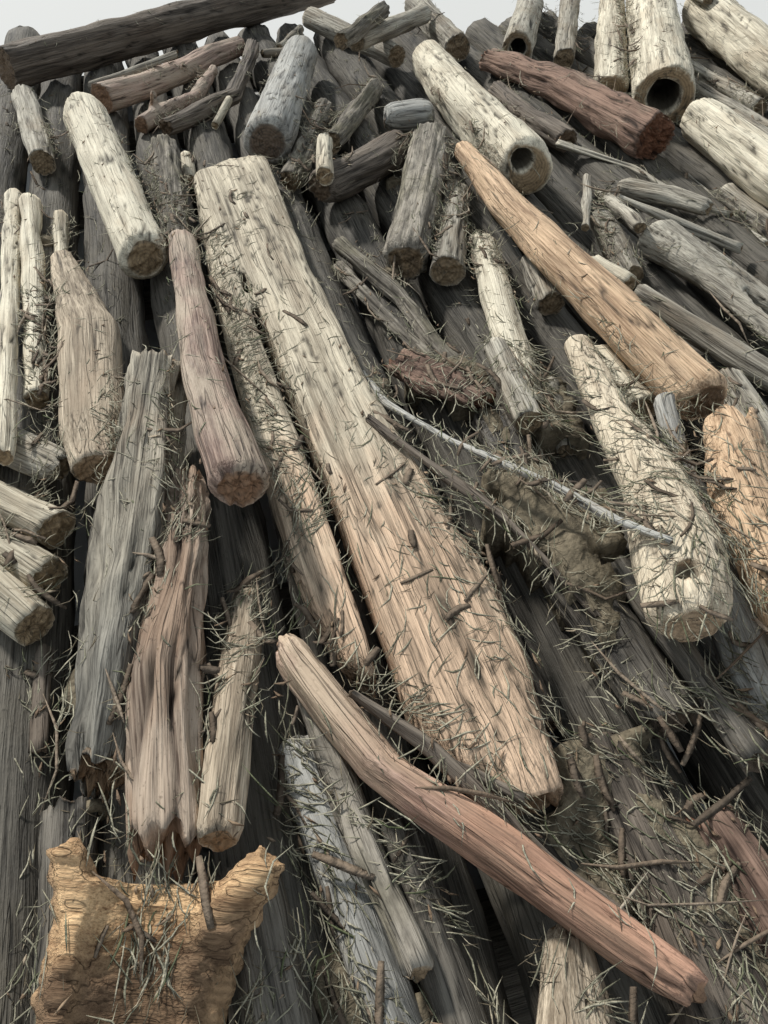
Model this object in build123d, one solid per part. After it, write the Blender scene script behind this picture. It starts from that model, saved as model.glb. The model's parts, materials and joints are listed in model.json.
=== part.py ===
from build123d import *
import math
import os
from dataclasses import dataclass, field, replace

import numpy as np

# A heap of drift logs on split bearers. Millimetres, +Z up, the logs lie along Y.
# Plan places are measured from a peg at the heap's near end: x to the right, y away from it.

# Bearers: split half-rounds, flat side down on the ground, laid across the heap
bearer_width = 300
bearer_height = 140
bearer_first_y = 420
bearer_pitch = 1060
bearer_overhang = 130

# Bed: long logs side by side on the bearers, their near ends stepping back to the right
bed_butt_diameter = 272
bed_tip_diameter = 236
bed_pitch = 286
bed_left_x = -930
bed_count = 19
bed_near_y = 60
bed_step_back = 0.8
bed_step_from_x = 800
bed_far_y = 7100
bed_far_slope = 0.16

# Clearance left between a settled log and what carries it
settling_gap = 0.8

# The long split slab and its drying crack
slab_thickness = 150
slab_crack_width = 22
slab_crack_mouth = 46
slab_crack_route = [(534, 218), (1014, 215), (1454, 216), (2015, 209), (2395, 200), (2955, 207), (3135, 220)]

# The logs that show most, and what is special about each
orange_log_diameter = 178
knot_log_flare = 214
knot_hole_diameter = 56
knot_hole_depth = 42
bow_log_diameter = 94
bow_step_depth = 15
hollow_log_diameter = 338
hollow_log_bore = 190
hollow_log_depth = 420
trunk_cavity_diameter = 120
trunk_cavity_depth = 150
blue_log_bore = 120
blue_log_depth = 260
split_end_width = 30
split_end_run = 160
fork_spread = 250
fork_gap = 120
fork_run = 480
notch_width = 70
notch_run = 110
stump_width = 356
stump_height = 190
stump_trough_diameter = 270
stump_trough_depth = 62

# Flats round a log's section, as the eye reads a weathered log; a squared one has more
SIDES = 14
SQUARED_SIDES = 24

# The steps the settling works in: along a log, and columns between two corners of its section
STEP = 8.0
COLUMNS = 3
COARSE_STEP = 25.0


@dataclass
class Log:
    """One piece of the heap: stations (x, y, width) along it, and the shape of its sections."""

    node: str
    points: list
    flat: float = 1.0
    rough: float = 0.05
    turn: float = 0.0
    square: float = 2.0
    worn: float = 0.0
    round_section: bool = False
    roll: float = 50.0
    features: list = field(default_factory=list)
    rest: tuple = (0.0, 0.0)

    def frame(self):
        """The chord in plan: its start, its direction, the way to its side and its length."""
        first = np.array(self.points[0][:2], float)
        last = np.array(self.points[-1][:2], float)
        length = float(np.hypot(*(last - first)))
        along = (last - first) / length
        side = np.array([along[1], -along[0]])
        return first, along, side, length

    def stations(self):
        """Rows of (place along the chord, offset to the side, half width, half height)."""
        first, along, side, length = self.frame()
        rows = []
        for x, y, width, *height in self.points:
            place = np.array([x, y], float) - first
            tall = height[0] if height else width * self.flat
            rows.append([place @ along, place @ side, width / 2, tall / 2])
        rows = np.array(rows)
        if self.worn:
            rows = self.wear(rows)
        return rows

    def wear(self, rows):
        """Rounds both ends over by a share of the end's own width."""
        run = self.worn * rows[[0, -1], 2] * 2
        inner = np.clip([rows[0, 0] + run[0], rows[-1, 0] - run[1]], rows[0, 0], rows[-1, 0])
        added = np.array([[s] + [np.interp(s, rows[:, 0], rows[:, k]) for k in (1, 2, 3)] for s in inner])
        kept = rows[1:-1][(rows[1:-1, 0] > inner[0]) & (rows[1:-1, 0] < inner[1])]
        ends = rows[[0, -1]].copy()
        ends[:, 2:] *= 0.72
        return np.vstack([ends[:1], added[:1], kept, added[1:], ends[1:]])

    def outline(self):
        """The corners of a section over its half width and half height, first one at its side."""
        count = SIDES if self.square < 2.5 else SQUARED_SIDES
        angle = np.arange(count) * 2 * np.pi / count
        c, s = np.cos(angle), np.sin(angle)
        power = 2 / self.square
        x, z = np.sign(c) * np.abs(c) ** power, np.sign(s) * np.abs(s) ** power
        if self.round_section:
            return x, z
        wave = 1 + self.rough * (np.cos(2 * angle + self.turn) + 0.6 * np.cos(3 * angle + 2 * self.turn))
        return x * wave, z * wave

    def surface(self, step=STEP, columns=COLUMNS):
        """Upper and lower heights on a grid along and across the log, over its own chord."""
        rows = self.stations()
        length = rows[-1, 0]
        s = np.linspace(0, length, max(4, int(length / step)))
        offset, half_width, half_height = (np.interp(s, rows[:, 0], rows[:, k]) for k in (1, 2, 3))
        x, z = self.outline()
        start = int(np.argmax(x))
        x, z = np.roll(x, -start), np.roll(z, -start)
        low = int(np.argmin(x))
        corners = np.unique(x)
        places = np.interp(
            np.arange((len(corners) - 1) * columns + 1) / columns, np.arange(len(corners)), corners)
        top = np.interp(places, x[low::-1], z[low::-1])
        under = np.interp(places, np.r_[x[low:], x[0]], np.r_[z[low:], z[0]])
        across = offset[:, None] + half_width[:, None] * places
        upper = half_height[:, None] * top
        lower = half_height[:, None] * under
        return s, across, upper, lower, half_width * half_height

    def height_at(self, x, y):
        """Height of the settled log's upper side over plan points, and -inf beside it."""
        first, along, side, length = self.frame()
        s_grid, across, upper, _, _ = self.grid
        shares = (across[0] - across[0, 0]) / (across[0, -1] - across[0, 0])
        ax, ay = x - first[0], y - first[1]
        s = ax * along[0] + ay * along[1]
        t = ax * side[0] + ay * side[1]
        left = np.interp(s, s_grid, across[:, 0])
        right = np.interp(s, s_grid, across[:, -1])
        share = (t - left) / (right - left)
        inside = (s >= 0) & (s <= length) & (share >= 0) & (share <= 1)
        row = np.clip(s / length, 0, 1) * (len(s_grid) - 1)
        column = np.interp(share, shares, np.arange(len(shares)))
        i = np.minimum(row.astype(int), len(s_grid) - 2)
        j = np.minimum(column.astype(int), len(shares) - 2)
        u, v = row - i, column - j
        near = upper[i, j] * (1 - v) + upper[i, j + 1] * v
        far = upper[i + 1, j] * (1 - v) + upper[i + 1, j + 1] * v
        height = near * (1 - u) + far * u + self.rest[0] + self.rest[1] * s
        return np.where(inside, height, -np.inf)

    def over_plan(self, grid):
        """Plan places of a grid over the log, and the grid's bounds."""
        first, along, side, _ = self.frame()
        s, across = grid[0], grid[1]
        x = first[0] + s[:, None] * along[0] + across * side[0]
        y = first[1] + s[:, None] * along[1] + across * side[1]
        return x, y, (x.min(), y.min(), x.max(), y.max())

    def bearing(self, placed, grid):
        """Where the log comes to lie on what is under it: start height, slope, middle height."""
        x, y, box = self.over_plan(grid)
        s, _, _, lower, area = grid
        ground = np.zeros_like(x)
        for other in placed:
            low_x, low_y, high_x, high_y = other.bounds
            if low_x <= box[2] and box[0] <= high_x and low_y <= box[3] and box[1] <= high_y:
                ground = np.maximum(ground, other.height_at(x, y))
        need = (ground - lower).max(1) + settling_gap
        centre = (s * area).sum() / area.sum()
        hull = upper_hull(s, need)
        k = int(np.clip(np.searchsorted(s[hull], centre), 1, len(hull) - 1))
        a, b = hull[k - 1], hull[k]
        slope = (need[b] - need[a]) / (s[b] - s[a])
        start = need[a] - slope * s[a]
        return start, slope, start + slope * centre

    def rolled(self, start_move, end_move):
        """The same log with its two ends moved sideways."""
        first, along, side, length = self.frame()
        points = []
        for x, y, *size in self.points:
            share = (np.array([x, y]) - first) @ along / length
            move = (start_move + (end_move - start_move) * share) * side
            points.append((x + move[0], y + move[1], *size))
        return replace(self, points=points)

    def settle(self, placed):
        """Rolls the log a little sideways to where it lies low and level, and rests it there."""
        moves = [self.roll * share for share in (-1, -0.5, 0, 0.5, 1)] if self.roll else [0]
        best = None
        for start_move in moves:
            for end_move in moves:
                trial = self.rolled(start_move, end_move)
                _, slope, height = trial.bearing(placed, trial.surface(COARSE_STEP, 1))
                score = height + 250 * abs(slope) + 0.3 * (abs(start_move) + abs(end_move))
                if best is None or score < best[0]:
                    best = (score, trial)
        self.points = best[1].points
        self.grid = self.surface()
        self.bounds = self.over_plan(self.grid)[2]
        self.rest = self.bearing(placed, self.grid)[:2]

    def place(self, s, across=0.0, up=0.0):
        """A point of the settled log, from its place along, across and above its chord."""
        first, along, side, _ = self.frame()
        x, y = first + s * along + across * side
        return Vector(x, y, self.rest[0] + self.rest[1] * s + up)

    def section(self, row):
        """One upright section of the log as a face."""
        s, offset, half_width, half_height = row
        _, along, side, _ = self.frame()
        origin = self.place(s, offset)
        plane = Plane(origin, x_dir=Vector(*side, 0), z_dir=Vector(*-along, 0))
        x, z = self.outline()
        return plane * make_face(Polyline(*zip(x * half_width, z * half_height), close=True))

    def solid(self):
        """The log, lofted through its sections, then its knots, hollows and breaks."""
        body = loft([self.section(row) for row in self.stations()], ruled=True)
        for feature in self.features:
            body = feature(self, body)
        return body


def upper_hull(s, height):
    """Indices of the points of the upper convex hull of a profile."""
    hull = []
    for i in range(len(s)):
        while len(hull) > 1:
            a, b = hull[-2], hull[-1]
            turn = (s[b] - s[a]) * (height[i] - height[a]) - (height[b] - height[a]) * (s[i] - s[a])
            if turn < 0:
                break
            hull.pop()
        hull.append(i)
    return hull


def bore(at_end, diameter, depth, across=0.0, up=0.0, taper=0.7):
    """A rotted hole that runs in from the log's first or last end and narrows inwards."""

    def cut(log, body):
        _, along, _, length = log.frame()
        inward = 1 if at_end == "first" else -1
        start = log.place(0 if at_end == "first" else length, across, up)
        way = Vector(*along, log.rest[1]) * inward
        plane = Plane(start - way * 20, z_dir=way)
        hole = loft([plane * Circle(diameter / 2), plane.offset(depth + 20) * Circle(diameter / 2 * taper)])
        return body - hole

    return cut


def knot_hole(s, diameter, depth, height, across=0.0):
    """A round pocket let into the log's upper side, as deep as given below that side."""

    def cut(log, body):
        centre = log.place(s, across, height - depth + diameter / 2)
        return body - Pos(centre) * Sphere(diameter / 2)

    return cut


def branch_stub(s, across, up, reach, direction, butt, tip):
    """A broken branch that grows out of the log and tapers to a blunt end."""

    def grow(log, body):
        start = log.place(s, across, up)
        way = Vector(*direction).normalized()
        plane = Plane(start, z_dir=way)
        return body + loft([plane * Circle(butt / 2), plane.offset(reach) * Circle(tip / 2)])

    return grow


def end_notch(at_end, width, run, across=0.0):
    """A vee split down through the log from one end, which leaves two prongs."""

    def cut(log, body):
        _, along, side, length = log.frame()
        start, inward = (0, 1) if at_end == "first" else (length, -1)
        plane = Plane(log.place(start, across, -width * 4), x_dir=Vector(*side, 0), z_dir=(0, 0, 1))
        forward = inward * (1 if plane.y_dir.dot(Vector(*along, 0)) > 0 else -1)
        corners = [(-width / 2, -forward * 20), (width / 2, -forward * 20), (0, forward * run)]
        return body - extrude(plane * make_face(Polyline(*corners, close=True)), width * 8)

    return cut


def trough(diameter, depth, height):
    """A round trough worn along the log's upper side."""

    def cut(log, body):
        _, along, _, length = log.frame()
        way = Vector(*along, log.rest[1])
        plane = Plane(log.place(0, 0, height / 2 - depth + diameter / 2) - way * diameter, z_dir=way)
        return body - extrude(plane * Circle(diameter / 2), length + 2 * diameter)

    return cut


def drying_crack(route, width, mouth):
    """A slot through the log along a route of (along, across) places, opening from width to mouth."""

    def cut(log, body):
        start, end = route[0][0], route[-1][0]
        left, right = [], []
        for s, across in route:
            share = (s - start) / (end - start)
            half = (width + (mouth - width) * share) / 2 * min(1, 4 * share)
            left.append(log.place(s, across - half))
            right.append(log.place(s, across + half))
        corners = [(point.X, point.Y) for point in left + right[:0:-1]]
        outline = make_face(Polyline(*corners, close=True))
        height = 2 * max(row[3] for row in log.stations())
        return body - Pos(0, 0, log.rest[0] - 2 * height) * extrude(outline, 4 * height)

    return cut


# The cutting list, from the bottom of the heap to its top. Each entry is one log: its node and its
# stations, from one end to the other, each with its plan place and its width there
def cutting_list():
    logs = []

    def lay(node, *points, **shape):
        shape.setdefault("turn", 1.7 * len(logs))
        logs.append(Log(node, list(points), **shape))

    # Buried logs that show in the gaps
    lay("mound_log", (850, 1820, 124), (820, 1200, 160), (850, 660, 140))
    lay("dark_low_logs", (190, 620, 92), (225, 40, 92), round_section=True)
    lay("dark_low_logs", (-120, 600, 116), (-80, 60, 110), round_section=True)
    lay("dark_low_logs", (-430, 850, 108), (-530, 330, 116), round_section=True)
    lay("grey_chunk", (-900, 2330, 150), (-490, 1900, 122), flat=0.7, worn=0.3)
    lay("litter_log", (860, 1080, 66), (890, 750, 68), (910, 500, 66))
    lay("brown_slab", (695, 690, 150), (675, 370, 178), (640, -20, 196), flat=0.5, square=2.8)
    lay("crumbly_red_log", (800, 470, 92), (875, 20, 130), rough=0.07)
    lay("buried_grey_logs", (1290, 3480, 132), (985, 2700, 136), rough=0.06)
    lay("buried_grey_logs", (1900, 3060, 112), (1760, 2560, 107))
    lay("buried_grey_logs", (1680, 2380, 100), (1980, 1480, 114))
    lay("left_poles", (-800, 4150, 84), (-640, 1900, 62), round_section=True)
    lay("left_poles", (-690, 3900, 100), (-590, 2300, 82), round_section=True)
    lay("left_poles", (-610, 3800, 64), (-560, 3000, 58), round_section=True)

    # The far end
    lay("far_trunk", (-900, 5680, 258), (240, 6440, 250), (1480, 7180, 241), rough=0.07)
    lay("far_logs", (1180, 6500, 150), (1560, 5480, 140), round_section=True)
    lay("far_logs", (2050, 6700, 190), (1960, 5560, 170), round_section=True)
    lay("far_logs", (3250, 6480, 150), (2640, 5220, 140), round_section=True)
    lay("far_logs", (-800, 5450, 150), (-640, 4300, 130), round_section=True)
    lay("bent_pink_log", (-340, 5130, 170), (-110, 5290, 152), (140, 5530, 133), (370, 5860, 140),
        (600, 6060, 120))
    lay("curved_dark_log", (-10, 4680, 89), (200, 4850, 100), (420, 5060, 92), (600, 5680, 100), (680, 6010, 90))
    lay("horned_root", (-140, 4780, 100), (10, 4970, 104), (180, 5080, 92), (360, 5560, 76),
        features=[branch_stub(150, 0, 10, 120, (0.2, 0.3, 1), 60, 36)])
    lay("far_thin_logs", (-520, 6340, 34), (260, 6860, 36), round_section=True)
    lay("far_thin_logs", (-600, 6420, 34), (40, 6830, 36), round_section=True)
    lay("far_thin_logs", (720, 5900, 52), (1110, 6060, 54), round_section=True)
    lay("far_thin_logs", (1230, 5280, 112), (1900, 6080, 126), round_section=True)
    lay("far_thin_logs", (900, 6080, 56), (1130, 6560, 60), round_section=True)
    lay("barked_logs", (1030, 5000, 94), (1500, 5600, 92))
    lay("barked_logs", (830, 4180, 114), (1290, 5020, 108), rough=0.08)
    lay("barked_logs", (910, 4730, 104), (540, 3800, 108))

    # The upper right
    lay("red_rot_log", (2140, 5350, 132), (2370, 4690, 194), (2470, 3700, 235), rough=0.06)
    lay("narrow_brown_log", (2060, 4960, 100), (2060, 4380, 114), (2110, 3980, 118))
    lay("blue_hollow_log", (2960, 6570, 205), (2320, 5280, 212),
        features=[bore("last", blue_log_bore, blue_log_depth)])
    lay("split_end_log", (3550, 6360, 188), (2570, 4480, 203),
        features=[end_notch("last", split_end_width, split_end_run, 20)])
    lay("big_pale_log", (4000, 5820, 300), (3700, 4480, 285), (3620, 4000, 270))
    lay("right_hand_logs", (3440, 5350, 84), (3400, 4180, 86), round_section=True)
    lay("right_hand_logs", (3260, 4750, 86), (3330, 3720, 78), round_section=True)
    lay("right_hand_logs", (3900, 6000, 76), (3850, 5470, 84), round_section=True)
    lay("right_hand_logs", (3160, 4060, 110), (3080, 3300, 112), round_section=True)
    lay("right_hand_logs", (2670, 3260, 98), (2560, 2560, 106), round_section=True)
    lay("right_hand_logs", (1670, 1770, 126), (1560, 1180, 126), round_section=True)
    lay("hollow_log", (3680, 6060, 320), (2700, 4110, hollow_log_diameter), rough=0.03,
        features=[bore("last", hollow_log_bore, hollow_log_depth)])
    lay("pale_right_log", (2820, 3900, 222), (2715, 3240, 228), (2660, 2800, 226), worn=0.15)
    lay("pale_trunk", (1700, 5270, 236), (1650, 4660, 266), (1625, 4000, 276), (1625, 3390, 284), worn=0.2,
        features=[bore("last", trunk_cavity_diameter, trunk_cavity_depth, 40, 50)])

    # The middle and the left
    lay("mossy_log", (-30, 4380, 134), (-50, 3250, 120))
    lay("cream_log", (-432, 4850, 240), (-180, 3060, 204), worn=0.15)
    lay("orange_half_log", (-530, 3280, 90), (-430, 2600, 216), (-430, 2000, 224), (-430, 1790, 145), flat=0.7)
    lay("left_pair", (-860, 2090, 100), (-460, 1660, 122))
    lay("left_pair", (-820, 1820, 94), (-500, 1490, 106))
    lay("left_pair", (-800, 1560, 120), (-530, 1340, 110))
    lay("rot_log", (-220, 2130, 184), (-320, 1530, 208), (-405, 1020, 166), (-440, 860, 150), rough=0.07)
    lay("step_log", (-80, 3160, 112), (-75, 2500, 120), (-80, 2030, 138), (-40, 1400, 156), worn=0.2)
    lay("split_slab", (350, 3960, 210, 120), (265, 3820, 380, slab_thickness), (245, 2900, 400, slab_thickness),
        (265, 2000, 425, slab_thickness), (310, 1300, 455, slab_thickness), (335, 1150, 470, slab_thickness),
        (355, 980, 410, slab_thickness), (400, 850, 320, 140), (412, 700, 240, 120), (452, 560, 130, 80),
        square=4.5, rough=0.0, features=[drying_crack(slab_crack_route, slab_crack_width, slab_crack_mouth)])
    lay("burl_chunk", (640, 3600, 190), (930, 3800, 206), (1180, 4020, 200), flat=0.8, worn=0.2)
    lay("saddle_lump", (1180, 4430, 180), (1470, 4400, 210), flat=0.8, worn=0.3)
    lay("small_stubs", (100, 4480, 70), (70, 4180, 65), round_section=True)
    lay("small_stubs", (740, 3880, 80), (600, 3480, 82), round_section=True)
    lay("small_stubs", (1640, 2700, 68), (1700, 2480, 66), round_section=True)
    lay("small_stubs", (265, 4730, 44), (340, 4960, 46), round_section=True)
    lay("centre_bolt", (1355, 3905, 194), (880, 2830, 192), worn=0.1)
    lay("mossy_branches", (640, 3150, 70), (780, 2640, 70), (840, 2120, 62))
    lay("mossy_branches", (606, 3060, 46), (730, 2500, 42), (822, 2060, 38))
    lay("pale_split_log", (1260, 2950, 130), (1110, 2360, 134), (980, 1800, 116), flat=0.8)
    lay("short_bolts", (1390, 2770, 100), (1330, 2420, 108))
    lay("short_bolts", (935, 2110, 88), (845, 1640, 100))
    lay("short_bolts", (1075, 1960, 60), (975, 1620, 56))
    lay("reddish_slab", (612, 2200, 106, 60), (720, 2020, 170, 80), (826, 1830, 96, 60), square=2.6)
    lay("grey_round_log", (930, 5580, 233), (480, 4090, 254), rough=0.03, worn=0.12)
    lay("root_piece", (2130, 3380, 100), (2300, 3200, 122), (2400, 3000, 93), flat=0.7, worn=0.3)
    lay("squared_block", (1345, 2050, 112), (1340, 1710, 122), square=3.4, rough=0.02)
    lay("forked_log", (1950, 2760, 178), (2050, 2420, 186, 150), (2080, 2260, 210, 110),
        (2120, 1860, fork_spread, 80), features=[end_notch("last", fork_gap, fork_run)])
    lay("orange_log", (1388, 3690, 97), (1362, 3040, 139), (1380, 2650, 160), (1415, 2120, 174),
        (1442, 1560, orange_log_diameter), rough=0.03, worn=0.12, roll=30)
    lay("grey_flared_log", (1370, 1590, 70), (1240, 1240, 75), (1160, 1020, 104), (1085, 700, 140),
        (1050, 430, 130))
    lay("notched_log", (1370, 1430, 166), (1230, 1160, 184), (1150, 840, 182), (1100, 560, 170),
        features=[end_notch("first", notch_width, notch_run)])
    lay("knot_log", (1262, 2070, 90), (1132, 1560, 111), (1080, 1250, 162),
        (972, 965, knot_log_flare), (885, 770, 168),
        worn=0.25, roll=20, features=[knot_hole(1245, knot_hole_diameter, knot_hole_depth, 92)])

    # The near end
    lay("grey_smooth_log", (-5, 850, 100), (40, 560, 110), (100, 160, 107), rough=0.02, worn=0.15, roll=25)
    lay("tan_bark_bolt", (48, 950, 50), (122, 560, 65), (166, 330, 64), roll=20)
    lay("pale_stump", (400, 340, 84), (410, 100, 172), worn=0.15)
    lay("brown_split_log", (-65, 1640, 56), (-140, 1320, 114), (-240, 1010, 134), (-300, 640, 130), rough=0.08)
    lay("tan_log", (-36, 1330, 66), (-118, 930, 108), (-184, 600, 90), worn=0.15, roll=30)
    lay("stump_chunk", (-262, 566, stump_width - 34, 150), (-296, 500, stump_width, stump_height),
        (-335, 400, stump_width - 20, stump_height), (-388, 160, stump_width - 76, stump_height),
        rough=0.06, roll=0,
        features=[branch_stub(70, 105, 20, 150, (-0.2, 0.8, 0.45), 112, 58),
                  branch_stub(75, -105, 20, 165, (0.75, 0.42, 0.5), 118, 60),
                  trough(stump_trough_diameter, stump_trough_depth, stump_height)])
    lay("slats_and_strips", (640, 1300, 38), (585, 780, 44), round_section=True)
    lay("slats_and_strips", (480, 560, 28), (585, 290, 32), round_section=True)
    lay("slats_and_strips", (-600, 1300, 28), (-600, 1000, 30), round_section=True)
    lay("bow_log", (38, 1042, 80), (65, 964, 98), (117, 839, 98), (176, 702, bow_log_diameter, bow_log_diameter),
        (192, 682, bow_log_diameter - 7, bow_log_diameter - bow_step_depth), (268, 590, 87), (366, 474, 84),
        (452, 362, 77), (544, 252, 71), (612, 172, 54), worn=0.2, roll=15)
    lay("canes", (420, 1790, 21), (545, 1540, 23), (680, 1300, 22), (790, 930, 20), round_section=True)
    lay("canes", (190, 850, 10), (262, 768, 10), (345, 672, 9), (450, 560, 9), round_section=True, roll=20)
    lay("canes", (141, 852, 24), (210, 776, 25), (278, 707, 25), (357, 590, 26), (461, 434, 25), (537, 355, 23),
        (599, 268, 20), round_section=True, roll=20)
    lay("pale_stick", (507, 2200, 29), (524, 1936, 28), (632, 1606, 26), (794, 1267, 24), (852, 1088, 22),
        (930, 944, 18),
        round_section=True, roll=15)
    lay("thin_branches", (2080, 3990, 32), (2330, 3610, 31), (2390, 3130, 29), (2520, 3000, 28),
        round_section=True)
    lay("thin_branches", (2640, 3600, 15), (2450, 2710, 13), round_section=True)
    lay("thin_branches", (2040, 3420, 58), (1980, 3080, 62), (1890, 2700, 57), round_section=True)
    lay("thin_branches", (1930, 3100, 27), (2160, 2880, 40), (2380, 2700, 43), round_section=True)
    lay("thin_branches", (2100, 3580, 40), (1720, 2850, 38), round_section=True)
    lay("thin_branches", (-420, 5600, 48), (150, 5380, 48), round_section=True)
    return logs


def bearers(logs):
    """Half-round bearers under the bed, each as long as the bed is wide above it."""
    made = []
    for y in np.arange(bearer_first_y, bed_far_y - bearer_width, bearer_pitch):
        over = [log for log in logs if log.points[0][1] < y < log.points[-1][1]]
        left = min(np.interp(y, [log.points[0][1], log.points[-1][1]], [log.points[0][0], log.points[-1][0]])
                   for log in over) - bed_pitch / 2 - bearer_overhang
        right = max(log.points[0][0] for log in over) + bed_pitch / 2 + bearer_overhang
        made.append(Bearer("bearers", [(left, y, bearer_width), (right, y, bearer_width)]))
    return made


class Bearer(Log):
    """A split half-round on its flat side."""

    def corners(self):
        """The corners of the half round, from its right side over its top to its left side."""
        angle = np.arange(SIDES + 1) * np.pi / SIDES
        return bearer_width / 2 * np.cos(angle), bearer_height * np.sin(angle)

    def surface(self, step=STEP, columns=COLUMNS):
        length = self.frame()[3]
        s = np.linspace(0, length, max(4, int(length / step)))
        x, z = self.corners()
        across = np.ones_like(s)[:, None] * x[::-1]
        upper = np.ones_like(s)[:, None] * z[::-1]
        return s, across, upper, np.zeros_like(upper), np.ones_like(s)

    def settle(self, placed):
        self.grid = self.surface()
        self.bounds = self.over_plan(self.grid)[2]

    def solid(self):
        _, along, side, length = self.frame()
        plane = Plane(self.place(0), x_dir=Vector(*side, 0), z_dir=Vector(*-along, 0))
        return extrude(plane * make_face(Polyline(*zip(*self.corners()), close=True)), -length)


def bed():
    """The bed: long round logs side by side, butts and tips turn about."""
    made = []
    for k in range(bed_count):
        x = bed_left_x + k * bed_pitch
        near = max(bed_near_y, (x - bed_step_from_x) / bed_step_back + bed_near_y) + 90 * math.sin(2.3 * k)
        far = bed_far_y - bed_far_slope * (x - bed_left_x) + 110 * math.sin(1.9 * k + 1)
        widths = (bed_butt_diameter, bed_tip_diameter) if k % 2 else (bed_tip_diameter, bed_butt_diameter)
        made.append(Log("bed_logs", [(x, near, widths[0]), (x, far, widths[1])], round_section=True, roll=0))
    return made


def build():
    """Settles the whole heap from the ground up, then centres it over its own base."""
    lower = bed()
    placed = []
    for log in bearers(lower) + lower + cutting_list():
        log.settle(placed)
        placed.append(log)
    nodes = {}
    for log in placed:
        nodes.setdefault(log.node, []).append(log.solid())
    return nodes, placed


if __name__ == "__main__":
    os.makedirs("parts", exist_ok=True)
    nodes, placed = build()
    whole = Compound(children=[solid for solids in nodes.values() for solid in solids])
    box = whole.bounding_box()
    centre = (box.min + box.max) / 2
    shift = Pos(-centre.X, -centre.Y, -box.min.Z)
    for name, solids in nodes.items():
        export_step(shift * Compound(children=solids), f"parts/{name}.step")
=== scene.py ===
"""A heap of weathered drift logs, dressed around its CAD frame. Metres, +Z up, the logs lie along Y.

Each plain log is a tube worked out from the frame's own sections, and each hollow, forked or split piece
is the frame's solid with a finer skin. Both get the same relief: grain, drying cracks, lumps and knots.
Duff fills the gaps, and reeds, straw, sticks, chips and bark lie on it. Colours are procedural: one wood
for each of the record's slots, and a few for pieces that stand out.
"""

import json
import math

import bpy
import numpy as np
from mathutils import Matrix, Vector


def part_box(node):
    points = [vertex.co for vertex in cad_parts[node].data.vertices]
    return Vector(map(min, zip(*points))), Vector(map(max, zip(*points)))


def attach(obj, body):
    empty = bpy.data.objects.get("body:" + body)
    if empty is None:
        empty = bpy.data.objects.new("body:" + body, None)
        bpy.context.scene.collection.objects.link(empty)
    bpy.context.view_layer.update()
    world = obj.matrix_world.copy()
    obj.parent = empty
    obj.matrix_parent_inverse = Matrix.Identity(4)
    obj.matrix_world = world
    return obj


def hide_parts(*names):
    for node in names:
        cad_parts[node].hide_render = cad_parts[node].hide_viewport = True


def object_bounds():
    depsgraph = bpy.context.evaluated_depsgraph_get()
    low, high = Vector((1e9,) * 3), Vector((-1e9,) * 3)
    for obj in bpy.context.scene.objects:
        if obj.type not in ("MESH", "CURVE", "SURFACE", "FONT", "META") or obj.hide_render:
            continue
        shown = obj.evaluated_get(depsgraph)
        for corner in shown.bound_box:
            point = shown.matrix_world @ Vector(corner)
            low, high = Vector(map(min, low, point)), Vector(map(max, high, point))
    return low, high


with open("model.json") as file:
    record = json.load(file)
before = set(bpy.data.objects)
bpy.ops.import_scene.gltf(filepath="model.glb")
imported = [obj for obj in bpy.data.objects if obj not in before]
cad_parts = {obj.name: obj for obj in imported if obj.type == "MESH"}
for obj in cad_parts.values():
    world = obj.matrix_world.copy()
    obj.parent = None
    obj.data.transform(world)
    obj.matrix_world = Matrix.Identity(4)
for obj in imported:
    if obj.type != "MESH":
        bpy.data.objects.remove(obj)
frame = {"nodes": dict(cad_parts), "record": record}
size_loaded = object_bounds()

# Camera: where the picture was taken from, in the heap's frame
CAMERA_PLACE = (-1.644, -3.629, 2.04)
CAMERA_PITCH = 46
CAMERA_TURN = 15
FOCAL_LENGTH = 27.07

# How finely the logs are made
CELL_ROUND = 0.0095
MOST_AROUND = 60
AROUND_HIDDEN = 28
STEP_ALONG = 0.029
STEP_ALONG_HIDDEN = 0.12
LEAST_AROUND = 16
LEAST_RINGS = 6
SKIN = 0.010
FINEST_SKIN = 0.007
NEAR_SKIN = 0.008
FAR_SKIN = 0.0165
SLAB_SKIN = 0.012

# Waves that a rounded section keeps, and the shares of it on the rings of an end face, which is dished
OUTLINE_WAVES = 7
END_SHARES = np.array([0.985, 0.94, 0.8, 0.6, 0.38, 0.16, 0.02])
END_INSET = 0.004
END_DISH = 0.004

# Wavelengths of the relief, along a log, across it and up
FINE_WAVES = (0.35, 0.016, 0.016)
RIDGE_WAVES = (0.8, 0.05, 0.05)
LUMP_WAVES = (0.35, 0.14, 0.14)
CRACK_WAVES = (0.9, 0.06, 0.06)
GATE_WAVES = (0.5, 0.2, 0.2)
RAGGED_WAVES = (3.0, 0.03, 0.03)

# How wide a crack is in its wave, and knots: one for each length of log, with sizes, bump and pit
CRACK_WIDTH = 0.09
KNOT_EVERY = 0.45
KNOT_SIZES = (0.1, 0.26)
KNOT_BUMP = 0.22
KNOT_PIT = 0.34

# When a skin counts as hollow, for the painted shade in its hollows: smoothings, the depth it starts at
# and the depth over which it fills in
HOLLOW_SMOOTHINGS = 24
HOLLOW_FROM = 0.003
HOLLOW_OVER = 0.007
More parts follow.
